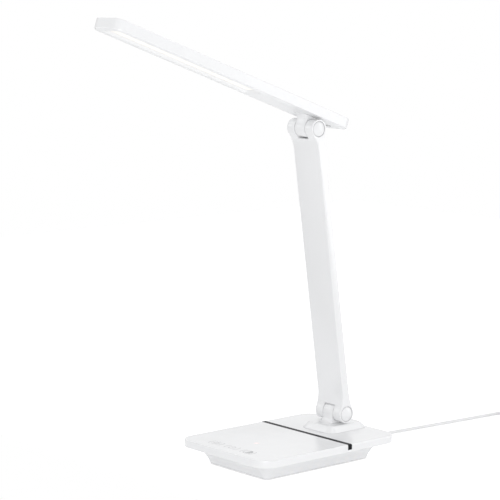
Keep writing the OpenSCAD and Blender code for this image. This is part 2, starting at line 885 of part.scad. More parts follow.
module arm_wire() {
    wire_l = arm_l - 2 * arm_cover_end - 2 * arm_seat - 4;
    color(black)
        at_lower_hinge()
            translate([0, -arm_front + arm_front_wall + arm_wire_r, (arm_l - wire_l) / 2])
                cylinder(r = arm_wire_r, h = wire_l, $fn = 24);
}

// ---- Head ----

module at_head() {
    translate([0, upper_y, upper_z])
        rotate([-tilt, 0, 0])
            children();
}

module head_body() {
    translate([0, head_mid_y, 0])
        profiled_slab(head_w, head_l, head_r,
            rounded_edge(head_under_z, head_top_z, head_round, head_round));
}

module head_shell() {
    color(white)
        at_head()
            difference() {
                head_body();
                translate([0, head_mid_y, 0]) {
                    slab(head_w - 2 * head_wall, head_l - 2 * head_wall, head_r - head_wall,
                        head_under_z - cut, head_ceiling_z - head_under_z + cut);
                    slab(head_w - 2 * head_lip_t, head_l - 2 * head_lip_t, head_r - head_lip_t,
                        head_under_z - cut, head_cover_t + cut);
                }
            }
}

// The light trough's hollow: wide at the underside and narrow at its bottom
module trough_space() {
    slope = (trough_w - trough_floor_w) / 2;
    deep = cut / trough_depth * slope;
    translate([0, trough_mid_y, 0])
        profiled_slab(trough_floor_w, trough_l - 2 * slope, trough_r,
            [[slope + deep, head_under_z - cut], [-deep, trough_top_z + cut]]);
}

module head_cover() {
    cover_slip = slip / 2;
    color(shade_white)
        at_head()
            difference() {
                union() {
                    translate([0, head_mid_y, 0])
                        slab(head_w - 2 * head_lip_t - 2 * cover_slip,
                            head_l - 2 * head_lip_t - 2 * cover_slip,
                            head_r - head_lip_t - cover_slip, head_under_z, head_cover_t);
                    translate([0, trough_mid_y, 0])
                        slab(trough_w + 2 * trough_border, trough_l + 2 * trough_border, trough_r,
                            head_under_z, trough_depth);
                }
                trough_space();
                for (sy = [-1, 1])
                    translate([0, sy * bracket_screw_y, head_under_z - cut])
                        cylinder(r = screw_hole_r, h = head_cover_t + 2 * cut);
            }
}

module head_bracket() {
    color(white)
        at_head()
            difference() {
                mirror([0, 0, 1])
                    tongue(head_rise);
                for (sy = [-1, 1])
                    translate([0, sy * bracket_screw_y, head_under_z - bracket_screw_l])
                        cylinder(r = thread_r, h = bracket_screw_l + cut);
            }
}

module head_anchor() {
    color(steel)
        at_head()
            difference() {
                slab(anchor_w, anchor_l, 3, head_cover_top_z, anchor_t);
                for (sy = [-1, 1])
                    translate([0, sy * bracket_screw_y, head_cover_top_z - cut])
                        cylinder(r = screw_hole_r, h = anchor_t + 2 * cut);
            }
}

module bracket_screws() {
    reach = anchor_t + head_cover_t + bracket_screw_l;
    color(steel)
        at_head()
            for (sy = [-1, 1])
                translate([0, sy * bracket_screw_y, head_cover_top_z + anchor_t + screw_head_h])
                    rotate([180, 0, 0])
                        screw_up(screw_head_r, screw_head_h, screw_r, reach - 0.2);
}

module led_board() {
    first = -(led_count - 1) * led_pitch / 2;
    at_head()
        translate([0, trough_mid_y, 0]) {
            color(white)
                slab(led_board_w, trough_l - 6, 1, head_ceiling_z - led_board_t, led_board_t);
            color(milky)
                for (i = [0:led_count - 1])
                    translate([-led_size / 2, first + i * led_pitch - led_size / 2,
                            head_ceiling_z - led_board_t - led_h])
                        cube([led_size, led_size, led_h + cut]);
        }
}

module led_reflector() {
    outer_w = diffuser_w;
    outer_l = trough_l - 1;
    high = head_ceiling_z - diffuser_top_z;
    color(white)
        at_head()
            translate([0, trough_mid_y, 0])
                difference() {
                    slab(outer_w, outer_l, trough_r, diffuser_top_z, high);
                    slab(outer_w - 2 * reflector_t, outer_l - 2 * reflector_t, trough_r - reflector_t,
                        diffuser_top_z - cut, high + 2 * cut);
                }
}

module diffuser() {
    color(milky)
        at_head()
            translate([0, trough_mid_y, 0])
                slab(diffuser_w, diffuser_l, trough_r, trough_top_z, diffuser_t);
}

module head_wire() {
    from = anchor_l / 2 + 1;
    to = trough_rear - trough_border - 1;
    color(black)
        at_head()
            translate([0, -from, head_cover_top_z + head_wire_r])
                rotate([90, 0, 0])
                    cylinder(r = head_wire_r, h = to - from, $fn = 24);
}

// ---- Cord ----

module cord_lead() {
    color(cable_grey)
        tube(lead_route, cord_d / 2, lead_sides);
}

module cord_coil() {
    color(cable_grey)
        tube(coil_route, cord_d / 2, coil_sides);
}

// A strap loop around the turns, closed on top
module cord_tie() {
    low = 0;
    high = coil_low_z + coil_pitch + cord_d / 2 + tie_t + 0.3;
    from = coil_in_r - coil_pitch * coil_rise - cord_d / 2 - tie_t - 0.4;
    to = coil_out_r + cord_d / 2 + tie_t + 0.4;
    color(black)
        translate([coil_centre[0], coil_centre[1], 0])
            rotate([0, 0, tie_angle])
                translate([(from + to) / 2, 0, (low + high) / 2])
                    rotate([90, 0, 0])
                        linear_extrude(tie_w, center = true)
                            difference() {
                                rounded_rect(to - from, high - low, 2);
                                rounded_rect(to - from - 2 * tie_t, high - low - 2 * tie_t, 2 - tie_t);
                            }
}

module plug_grip() {
    color(white)
        translate([plug_start[0], plug_start[1], plug_start[2]])
            rotate([0, 90, 0])
                union() {
                    cylinder(r1 = cord_d / 2 + 0.6, r2 = cord_d / 2 + 1.4, h = 6);
                    translate([0, 0, 6])
                        linear_extrude(plug_grip_l - 6)
                            rounded_rect(plug_grip_h, plug_grip_w, 2);
                }
}

module plug_shell() {
    color(steel)
        translate([plug_start[0] + plug_grip_l, plug_start[1], plug_start[2]])
            rotate([0, 90, 0])
                linear_extrude(plug_shell_l)
                    square([plug_shell_h, plug_shell_w], center = true);
}

base_cover();
inlay_strip();
indicator_lens();
touch_board();
base_housing();
rest_pad();
base_screws();
ballast_plate();
main_board();
board_screws();
cord_gland();
pedestal();
pedestal_screws();
lower_bolt();
lower_nut();
lower_spring_washer();
lower_friction_washers();
lower_caps();
arm_shell();
arm_cover();
arm_wire();
upper_bolt();
upper_nut();
upper_spring_washer();
upper_friction_washers();
upper_caps();
head_shell();
head_cover();
head_bracket();
head_anchor();
bracket_screws();
led_board();
led_reflector();
diffuser();
head_wire();
cord_lead();
cord_coil();
cord_tie();
plug_grip();
plug_shell();
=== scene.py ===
"""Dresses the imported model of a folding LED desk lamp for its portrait.

The lamp has a flat base on a foot, a slim arm on a friction hinge, a long light head on a second one,
and a thin lead. All lengths are in metres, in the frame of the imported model: +Z up, -Y to the front.
"""

import json
import logging
import math
from dataclasses import dataclass, field, replace
from enum import Enum
from typing import Callable, Sequence

import bpy
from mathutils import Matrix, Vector


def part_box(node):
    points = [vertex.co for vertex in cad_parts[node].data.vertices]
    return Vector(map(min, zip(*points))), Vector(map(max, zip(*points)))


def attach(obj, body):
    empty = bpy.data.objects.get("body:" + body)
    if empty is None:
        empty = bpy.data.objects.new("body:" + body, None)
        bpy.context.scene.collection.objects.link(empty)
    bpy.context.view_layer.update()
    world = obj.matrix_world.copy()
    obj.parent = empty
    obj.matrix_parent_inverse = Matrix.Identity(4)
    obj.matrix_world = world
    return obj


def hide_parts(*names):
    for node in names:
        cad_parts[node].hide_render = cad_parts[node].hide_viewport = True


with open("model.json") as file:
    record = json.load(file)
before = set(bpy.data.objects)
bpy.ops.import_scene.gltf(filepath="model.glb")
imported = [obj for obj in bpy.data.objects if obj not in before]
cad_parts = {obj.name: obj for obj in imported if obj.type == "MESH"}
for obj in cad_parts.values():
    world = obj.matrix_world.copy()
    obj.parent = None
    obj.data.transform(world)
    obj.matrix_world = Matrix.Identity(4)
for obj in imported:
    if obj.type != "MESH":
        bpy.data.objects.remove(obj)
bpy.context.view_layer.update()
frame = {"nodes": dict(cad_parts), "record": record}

MM = 0.001
Colour = tuple[float, float, float]
Point = tuple[float, float, float]
Piece = bpy.types.Object
Socket = bpy.types.NodeSocket

log = logging.getLogger("desk_lamp")


class Body(Enum):
    """The bodies of the lamp that move on their own."""

    BASE = "base"
    ARM = "arm"
    HEAD = "head"


class Slot(Enum):
    """The record's material slots that the pieces take their finish from."""

    GLOSS = "white_gloss"
    SATIN = "white_satin"
    INLAY = "black_gloss"
    LIGHT_PIPE = "light_pipe"
    DIFFUSER = "diffuser"
    BOARD = "circuit_board"
    LED_STRIP = "led_strip"
    PAD = "pad_rubber"
    STEEL = "steel"
    BRASS = "brass"
    BALLAST = "ballast"
    JACKET = "cord_jacket"
    TIE = "tie"
    WIRE = "wire"


class Pattern(Enum):
    """How a finish varies over its surface."""

    # The moulded pattern also paints shade into the colour in gaps and creases.
    MOULDED = "fine orange peel of a moulded shell"
    RUBBER = "matt, fine and uneven"
    BRUSHED = "hair lines along one direction"
    WOVEN = "over and under threads"
    TRACES = "copper lines under a solder mask"
    LIT = "lit from inside by a row of small lamps"


# ---- Working with the mesh tools ----


def select_only(piece: Piece) -> None:
    """Deselects everything, then selects a piece and makes it the active one.

    Args:
        piece: the object that the next operator is meant for.
    """
    if bpy.context.object is not None and bpy.context.object.mode != "OBJECT":
        bpy.ops.object.mode_set(mode="OBJECT")
    bpy.ops.object.select_all(action="DESELECT")
    piece.select_set(True)
    bpy.context.view_layer.objects.active = piece


def pick_faces(piece: Piece, wanted: Callable[[Vector, Vector], bool]) -> int:
    """Selects the faces of a piece that pass a test, and leaves the piece in edit mode.

    Args:
        piece: a mesh object.
        wanted: takes a face's middle and its normal.

    Returns:
        How many faces were selected.
    """
    select_only(piece)
    bpy.ops.object.mode_set(mode="EDIT")
    bpy.ops.mesh.select_mode(type="FACE")
    bpy.ops.mesh.select_all(action="DESELECT")
    bpy.ops.object.mode_set(mode="OBJECT")
    count = 0
    for face in piece.data.polygons:
        face.select = wanted(face.center, face.normal)
        count += face.select
    bpy.ops.object.mode_set(mode="EDIT")
    return count


def apply_bevel(piece: Piece, width: float, segments: int, angle: float = 30) -> None:
    """Rounds the sharp edges of a piece.

    Args:
        piece: a mesh object.
        width: the bevel's width.
        segments: how many faces the rounding has.
        angle: the least angle of an edge that is rounded, in degrees.
    """
    select_only(piece)
    bevel = piece.modifiers.new("soft_edges", "BEVEL")
    bevel.width = width
    bevel.segments = segments
    bevel.limit_method = "ANGLE"
    bevel.angle_limit = math.radians(angle)
    bevel.use_clamp_overlap = True
    bevel.miter_outer = "MITER_ARC"
    bpy.ops.object.modifier_apply(modifier=bevel.name)


def smooth(piece: Piece, angle: float = 32) -> None:
    """Shades a piece smooth, with sharp edges kept past an angle.

    Args:
        piece: a mesh object.
        angle: the least angle of an edge that stays sharp, in degrees.
    """
    select_only(piece)
    bpy.ops.object.shade_smooth_by_angle(angle=math.radians(angle))


def settle(piece: Piece, name: str) -> Piece:
    """Puts a finished piece's object at the origin, with its place in its mesh, and names it.

    Args:
        piece: the object.
        name: the piece's name.

    Returns:
        The same object.
    """
    select_only(piece)
    bpy.ops.object.transform_apply(location=True, rotation=True, scale=True)
    rename(piece, name)
    return piece


def face_outwards(piece: Piece) -> None:
    """Merges the doubles of a closed piece and turns its faces outwards.

    Args:
        piece: a mesh object.
    """
    select_only(piece)
    bpy.ops.object.mode_set(mode="EDIT")
    bpy.ops.mesh.select_all(action="SELECT")
    bpy.ops.mesh.remove_doubles(threshold=1e-6)
    bpy.ops.mesh.normals_make_consistent(inside=False)
    bpy.ops.object.mode_set(mode="OBJECT")


def join(pieces: Sequence[Piece]) -> Piece:
    """Joins pieces into the first of them.

    Args:
        pieces: mesh objects.

    Returns:
        The joined object.
    """
    select_only(pieces[0])
    for piece in pieces[1:]:
        piece.select_set(True)
    if len(pieces) > 1:
        bpy.ops.object.join()
    return bpy.context.view_layer.objects.active


def rename(piece: Piece, name: str) -> None:
    """Names a piece and its mesh."""
    piece.name = piece.data.name = name


def add_block(name: str, middle: Vector, size: Sequence[float]) -> Piece:
    """Adds a block, the start of a piece with flat sides.

    Args:
        name: the piece's name.
        middle: the block's middle.
        size: its size along each axis.

    Returns:
        The block.
    """
    bpy.ops.object.select_all(action="DESELECT")
    bpy.ops.mesh.primitive_cube_add(size=1, location=middle)
    block = bpy.context.object
    block.scale = size
    return settle(block, name)


def repeat(piece: Piece, steps: Sequence[Vector]) -> list[Piece]:
    """Copies a piece, each copy with its own mesh.

    Args:
        piece: a mesh object.
        steps: how far each copy is moved.

    Returns:
        The piece and its copies.
    """
    row = [piece]
    for step in steps:
        copy = piece.copy()
        copy.data = piece.data.copy()
        bpy.context.scene.collection.objects.link(copy)
        copy.location = step
        row.append(settle(copy, piece.name))
    return row


# ---- Finishes ----


class Painter:
    """Lays out the nodes of one material."""

    def __init__(self, name: str) -> None:
        """Starts a material with a principled shader and the piece's own coordinates."""
        self.material = bpy.data.materials.new(name)
        self.material.use_nodes = True
        self.tree = self.material.node_tree
        self.shader = self.tree.nodes["Principled BSDF"]
        self.place = self.add("ShaderNodeTexCoord").outputs["Object"]

    def add(self, kind: str, **settings: object) -> bpy.types.Node:
        """Adds a node.

        Args:
            kind: the node's type.
            settings: values for its inputs, by the input's name with _ for a space, or its properties.

        Returns:
            The node.
        """
        node = self.tree.nodes.new(kind)
        for key, value in settings.items():
            socket = node.inputs.get(key.replace("_", " "))
            if socket is not None:
                socket.default_value = value
            else:
                setattr(node, key, value)
        return node

    def link(self, out: Socket, into: Socket) -> None:
        """Links two sockets."""
        self.tree.links.new(out, into)

    def stretched(self, factors: Point) -> Socket:
        """Stretches the piece's coordinates.

        Args:
            factors: the factor along each axis.

        Returns:
            The stretched coordinates.
        """
        mapping = self.add("ShaderNodeMapping", Scale=factors)
        self.link(self.place, mapping.inputs["Vector"])
        return mapping.outputs["Vector"]

    def noise(self, scale: float, detail: float = 3, place: Socket | None = None) -> Socket:
        """Adds a noise over the piece.

        Args:
            scale: how many features there are in a metre.
            detail: how many finer layers it has.
            place: the coordinates it reads, or the piece's own.

        Returns:
            The noise's value, from 0 to 1.
        """
        noise = self.add("ShaderNodeTexNoise", Scale=scale, Detail=detail)
        self.link(place or self.place, noise.inputs["Vector"])
        return noise.outputs["Fac"]

    def spread(self, value: Socket, low: float, high: float, start: float = 0.3, end: float = 0.7) -> Socket:
        """Maps a value to another range, clamped to it.

        Args:
            value: the value.
            low: what it becomes at start.
            high: what it becomes at end.
            start: where its own range starts.
            end: where its own range ends.

        Returns:
            The mapped value.
        """
        ranged = self.add("ShaderNodeMapRange", From_Min=start, From_Max=end, To_Min=low, To_Max=high)
        self.link(value, ranged.inputs["Value"])
        return ranged.outputs["Result"]

    def blend(self, share: Socket, first: Colour, second: Colour) -> Socket:
        """Blends two colours by a share.

        Args:
            share: 0 for the first colour, 1 for the second.
            first: a colour.
            second: a colour.

        Returns:
            The blended colour.
        """
        ramp = self.add("ShaderNodeValToRGB")
        ramp.color_ramp.elements[0].color = (*first, 1)
        ramp.color_ramp.elements[1].color = (*second, 1)
        self.link(share, ramp.inputs["Fac"])
        return ramp.outputs["Color"]

    def math(self, operation: str, first: Socket, second: Socket | float) -> Socket:
        """Works out a value from two others.

        Args:
            operation: the operation, as Blender names it.
            first: a value.
            second: a value or a number.

        Returns:
            The result.
        """
        node = self.add("ShaderNodeMath", operation=operation)
        self.link(first, node.inputs[0])
        if isinstance(second, Socket):
            self.link(second, node.inputs[1])
        else:
            node.inputs[1].default_value = second
        return node.outputs[0]

    def colour_from(self, value: Socket) -> None:
        """Gives the shader its colour."""
        self.link(value, self.shader.inputs["Base Color"])

    def roughness_from(self, value: Socket) -> None:
        """Gives the shader its roughness."""
        self.link(value, self.shader.inputs["Roughness"])

    def relief_from(self, height: Socket, depth: float) -> None:
        """Gives the shader a relief.

        Args:
            height: the relief's height, from 0 to 1.
            depth: how deep it is.
        """
        bump = self.add("ShaderNodeBump", Strength=0.6, Distance=depth)
        self.link(height, bump.inputs["Height"])
        self.link(bump.outputs["Normal"], self.shader.inputs["Normal"])


def shade(colour: Colour, factor: float) -> Colour:
    """A colour made lighter or darker by a factor."""
    return tuple(min(1.0, part * factor) for part in colour)


@dataclass(frozen=True)
class Finish:
    """The finish of one kind of surface.

    Args:
        name: what a maker would call it.
        slot: the record's slot for it.
        colour: its colour, linear.
        rough: its middle roughness.
        pattern: how it varies.
        stray: how far its colour strays, as a share.
        grain: how many features its relief has in a metre.
        relief: how deep its relief is.
        metal: 1 for a metal.
        gloss: how strongly it mirrors, 0.5 for a plain plastic.
        glow: how strongly it shines by itself.
        glow_colour: the colour that it shines in.
        painted_glow_at: the place that a painted glow shines round on the surface, where it doesn't shine all over.
        painted_glow_r: how far that painted glow reaches.
        painted_shade_reach: how near another face has to be for painted shade to darken this one, as between two
            shells.
        painted_gap_shade: the share of the colour that is left deep in a gap, where painted shade darkens it.
    """

    name: str
    slot: Slot
    colour: Colour
    rough: float
    pattern: Pattern = Pattern.MOULDED
    stray: float = 0.012
    grain: float = 900
    relief: float = 0.004 * MM
    metal: float = 0
    gloss: float = 0.5
    glow: float = 0
    glow_colour: Colour = (1, 1, 1)
    painted_glow_at: Point | None = None
    painted_glow_r: float = 4.4 * MM
    painted_shade_reach: float = 1.3 * MM
    painted_gap_shade: float = 0.42

    def material(self) -> bpy.types.Material:
        """Makes the finish's material, the first time that it is asked for.

        Returns:
            The material.
        """
        made = bpy.data.materials.get(self.name)
        if made is not None:
            return made
        paint = Painter(self.name)
        paint.shader.inputs["Metallic"].default_value = self.metal
        paint.shader.inputs["Specular IOR Level"].default_value = self.gloss
        if self.glow:
            paint.shader.inputs["Emission Color"].default_value = (*self.glow_colour, 1)
            paint.shader.inputs["Emission Strength"].default_value = self.glow
        # Painted glow: the surface itself shines round a spot, fading outwards.
        if self.painted_glow_at is not None:
            self._painted_glow_spot(paint)
        paint.roughness_from(paint.spread(paint.noise(60), self.rough - 0.03, self.rough + 0.03))
        {
            Pattern.MOULDED: self._moulded,
            Pattern.RUBBER: self._rubber,
            Pattern.BRUSHED: self._brushed,
            Pattern.WOVEN: self._woven,
            Pattern.TRACES: self._traces,
            Pattern.LIT: self._lit,
        }[self.pattern](paint)
        return paint.material

    def _painted_glow_spot(self, paint: Painter) -> None:
        """Paints a glow that fades away from its place, a painted pool of light round a spot.

        Args:
            paint: its nodes.
        """
        away = paint.add("ShaderNodeVectorMath", operation="DISTANCE")
        paint.link(paint.place, away.inputs[0])
        away.inputs[1].default_value = self.painted_glow_at
        fade = paint.math("POWER", paint.spread(away.outputs["Value"], 1, 0, 0.6 * MM, self.painted_glow_r), 2.0)
        paint.link(paint.math("MULTIPLY", fade, self.glow), paint.shader.inputs["Emission Strength"])

    def _strayed(self, paint: Painter, share: Socket) -> Socket:
        """The colour, which strays a little to both sides of its middle by a share."""
        return paint.blend(share, shade(self.colour, 1 - self.stray), shade(self.colour, 1 + self.stray))

    def _moulded(self, paint: Painter) -> None:
        """Slow flow marks in the colour, painted shade that darkens the colour in the gaps, and a fine orange peel.

        Args:
            paint: its nodes.
        """
        # Painted shade: an ambient-occlusion node darkens the base colour where another face is near, in gaps and
        # creases.
        gaps = paint.add("ShaderNodeAmbientOcclusion", Distance=self.painted_shade_reach, samples=8)
        colour_with_painted_shade = paint.add("ShaderNodeVectorMath", operation="SCALE")
        paint.link(self._strayed(paint, paint.spread(paint.noise(14, 2), 0, 1)), colour_with_painted_shade.inputs[0])
        paint.link(paint.spread(gaps.outputs["AO"], self.painted_gap_shade, 1, 0, 0.9), colour_with_painted_shade.inputs["Scale"])
        paint.colour_from(colour_with_painted_shade.outputs["Vector"])
        paint.relief_from(paint.noise(self.grain, 2), self.relief)

    def _rubber(self, paint: Painter) -> None:
        """A dusty, uneven colour and a fine grain."""
        paint.colour_from(self._strayed(paint, paint.spread(paint.noise(240, 6), 0, 1)))
        paint.relief_from(paint.noise(self.grain, 5), self.relief)

    def _brushed(self, paint: Painter) -> None:
        """Hair lines along X.

        Args:
            paint: its nodes.
        """
        lines = paint.noise(self.grain, 4, paint.stretched((0.03, 1, 1)))
        paint.colour_from(self._strayed(paint, paint.spread(lines, 0, 1)))
        paint.relief_from(lines, self.relief)

    def _woven(self, paint: Painter) -> None:
        """Threads that cross along the two diagonals of X and Y.

        Args:
            paint: its nodes.
        """
        waves = []
        for turn in (0.25 * math.pi, -0.25 * math.pi):
            mapping = paint.add("ShaderNodeMapping", Rotation=(0, 0, turn))
            paint.link(paint.place, mapping.inputs["Vector"])
            wave = paint.add("ShaderNodeTexWave", Scale=self.grain, Distortion=0.4, bands_direction="X")
            paint.link(mapping.outputs["Vector"], wave.inputs["Vector"])
            waves.append(wave.outputs["Fac"])
        weave = paint.math("MAXIMUM", waves[0], waves[1])
        paint.colour_from(self._strayed(paint, weave))
        paint.relief_from(weave, self.relief)

    def _traces(self, paint: Painter) -> None:
        """Lines of copper that show through the mask.

        Args:
            paint: its nodes.
        """
        bricks = paint.add("ShaderNodeTexBrick", Scale=self.grain, Mortar_Size=0.03)
        bricks.inputs["Color1"].default_value = (0, 0, 0, 1)
        bricks.inputs["Color2"].default_value = (0.35, 0.35, 0.35, 1)
        bricks.inputs["Mortar"].default_value = (1, 1, 1, 1)
        paint.link(paint.place, bricks.inputs["Vector"])
        paint.colour_from(self._strayed(paint, bricks.outputs["Color"]))
        paint.relief_from(bricks.outputs["Color"], self.relief)

    def _lit(self, paint: Painter) -> None:
        """A milky plate, a little brighter over each small lamp along its length.

        Args:
            paint: its nodes.
        """
        wave = paint.add("ShaderNodeTexWave", Scale=self.grain, bands_direction="Y", wave_profile="SIN")
        paint.link(paint.place, wave.inputs["Vector"])
        paint.colour_from(self._strayed(paint, paint.spread(paint.noise(90), 0, 1)))
        lamps = paint.spread(wave.outputs["Fac"], 0, 1, 0, 1)
        glow = paint.blend(lamps, shade(self.glow_colour, 0.94), self.glow_colour)
        paint.link(glow, paint.shader.inputs["Emission Color"])


SHELL_WHITE = (0.876, 0.879, 0.886)
GLOSS_WHITE = Finish("gloss white shell", Slot.GLOSS, SHELL_WHITE, 0.2, grain=600, relief=0.0007 * MM, gloss=1.0)
# The same gloss white with a lighter painted shade in its gaps, for the pieces round the hinges.
HINGE_WHITE_LIGHTER_SHADE = replace(GLOSS_WHITE, name="gloss white with lighter painted gap shade round the hinges", painted_gap_shade=0.68)
SATIN_WHITE = Finish("satin white cover", Slot.SATIN, (0.88, 0.884, 0.89), 0.42, relief=0.003 * MM, grain=1400)
INLAY_BLACK = Finish("black inlay", Slot.INLAY, (0.01, 0.01, 0.012), 0.5, gloss=0.12)
# Painted light: the white cover shines by itself round the light pipe, a painted glow of the indicator's light.
COVER_WHITE_PAINTED_GLOW = replace(
    GLOSS_WHITE, name="gloss white cover with a painted glow round the light pipe",
    glow=0.22, glow_colour=(1.0, 0.16, 0.12), painted_glow_at=(2.5 * MM, -42.3 * MM, 24.2 * MM),
)
PIPE_GLOW = Finish(
    "glowing light pipe", Slot.LIGHT_PIPE, (0.9, 0.74, 0.72), 0.2, glow=0.3, glow_colour=(1.0, 0.7, 0.66)
)
MILKY_LIGHT = Finish(
    "milky lit strip", Slot.DIFFUSER, (0.4, 0.39, 0.37), 0.5, Pattern.LIT,
    grain=17.7, glow=0.63, glow_colour=(1.0, 0.975, 0.93),
)
MARK_GREY = Finish("printed grey mark", Slot.GLOSS, (0.3, 0.305, 0.315), 0.4, relief=0.001 * MM)
BOARD_GREEN = Finish(
    "green solder mask", Slot.BOARD, (0.02, 0.14, 0.06), 0.35, Pattern.TRACES,
    stray=0.35, grain=220, relief=0.02 * MM,
)
STRIP_WHITE = Finish(
    "white solder mask", Slot.LED_STRIP, (0.85, 0.85, 0.82), 0.4, Pattern.TRACES,
    stray=0.04, grain=160, relief=0.02 * MM,
)
PAD_RUBBER = Finish(
    "grey pad rubber", Slot.PAD, (0.17, 0.175, 0.185), 0.82, Pattern.RUBBER,
    stray=0.12, grain=1800, relief=0.05 * MM,
)
BARE_STEEL = Finish(
    "bare steel", Slot.STEEL, (0.55, 0.56, 0.57), 0.32, Pattern.BRUSHED,
    stray=0.08, grain=2600, relief=0.01 * MM, metal=1,
)
BARE_BRASS = replace(BARE_STEEL, name="bare brass", slot=Slot.BRASS, colour=(0.72, 0.52, 0.2), rough=0.34)
CAST_WEIGHT = Finish(
    "painted cast weight", Slot.BALLAST, (0.09, 0.09, 0.1), 0.6, Pattern.RUBBER,
    stray=0.2, grain=700, relief=0.08 * MM,
)
PALE_JACKET = Finish(
    "pale cord jacket", Slot.JACKET, (0.84, 0.842, 0.845), 0.48, Pattern.RUBBER,
    stray=0.015, grain=2500, relief=0.01 * MM,
)
STRAP_WEAVE = Finish(
    "black strap weave", Slot.TIE, (0.012, 0.012, 0.013), 0.8, Pattern.WOVEN,
    stray=0.5, grain=420, relief=0.12 * MM,
)
WIRE_BLACK = Finish(
    "black wire jacket", Slot.WIRE, (0.02, 0.02, 0.022), 0.45, Pattern.RUBBER, stray=0.1, grain=2500
)
CONTACT_GOLD = replace(
    BARE_BRASS, name="gilt contact", colour=(0.85, 0.6, 0.24), rough=0.25, stray=0.06, grain=3000, relief=0.005 * MM
)

CARRIED_OVER: dict[Slot, Finish] = {
    finish.slot: finish
    for finish in (
        GLOSS_WHITE, SATIN_WHITE, INLAY_BLACK, PIPE_GLOW, MILKY_LIGHT, BOARD_GREEN, STRIP_WHITE, PAD_RUBBER,
        BARE_STEEL, BARE_BRASS, CAST_WEIGHT, PALE_JACKET, STRAP_WEAVE, WIRE_BLACK,
    )
}


def dress(piece: Piece, finish: Finish) -> None:
    """Gives a piece a finish all over."""
    piece.data.materials.clear()
    piece.data.materials.append(finish.material())


def fit_piece(piece: Piece, body: Body, finish: Finish, stands_for: Sequence[str] = ()) -> Piece:
    """Dresses a finished piece and sets it on its body.

    Args:
        piece: the object, at the origin.
        body: the body that carries it.
        finish: its finish.
        stands_for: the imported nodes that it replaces.

    Returns:
        The same object.
    """
    dress(piece, finish)
    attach(piece, body.value)
    if stands_for:
        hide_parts(*stands_for)
    log.info("%s rides on the %s in %s", piece.name, body.value, finish.name)
    return piece


@dataclass(frozen=True)
class MouldedCopy:
    """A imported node's form with the softened edges that a mould gives it.

    Args:
        node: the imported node.
        body: the body that carries it.
        finish: its finish.
        width: how wide its edges are rounded, or 0 where the node's own edges stay.
        segments: how many faces each rounding has.
        angle: the least angle of an edge that is rounded, in degrees.
    """

    node: str
    body: Body
    finish: Finish = GLOSS_WHITE
    width: float = 0
    segments: int = 3
    angle: float = 40

    def build(self) -> Piece:
        """Copies the node, merges its triangles into whole faces, rounds its edges and fits it.

        Returns:
            The new piece.
        """
        source = frame["nodes"][self.node]
        name = self.node + "_moulded"
        piece = bpy.data.objects.new(name, source.data.copy())
        bpy.context.scene.collection.objects.link(piece)
        select_only(piece)
        if piece.data.has_custom_normals:
            bpy.ops.mesh.customdata_custom_splitnormals_clear()
        bpy.ops.object.mode_set(mode="EDIT")
        bpy.ops.mesh.select_all(action="SELECT")
        bpy.ops.mesh.remove_doubles(threshold=2e-6)
        bpy.ops.mesh.dissolve_limited(angle_limit=math.radians(0.4))
        bpy.ops.object.mode_set(mode="OBJECT")
        if self.width:
            apply_bevel(piece, self.width, self.segments, self.angle)
        smooth(piece)
        settle(piece, name)
        return fit_piece(piece, self.body, self.finish, [self.node])


# ---- The studio ----


@dataclass(frozen=True)
class Softbox:
    """A large soft light that faces the lamp.

    Args:
        name: the light's name.
        azimuth: where it stands round the lamp, in degrees from the front.
        elevation: how high it stands, in degrees.
        level: how much of full white it adds to a face that looks at it.
        width: its width.
        height: its height.
    """

    name: str
    azimuth: float
    elevation: float
    level: float
    width: float
    height: float


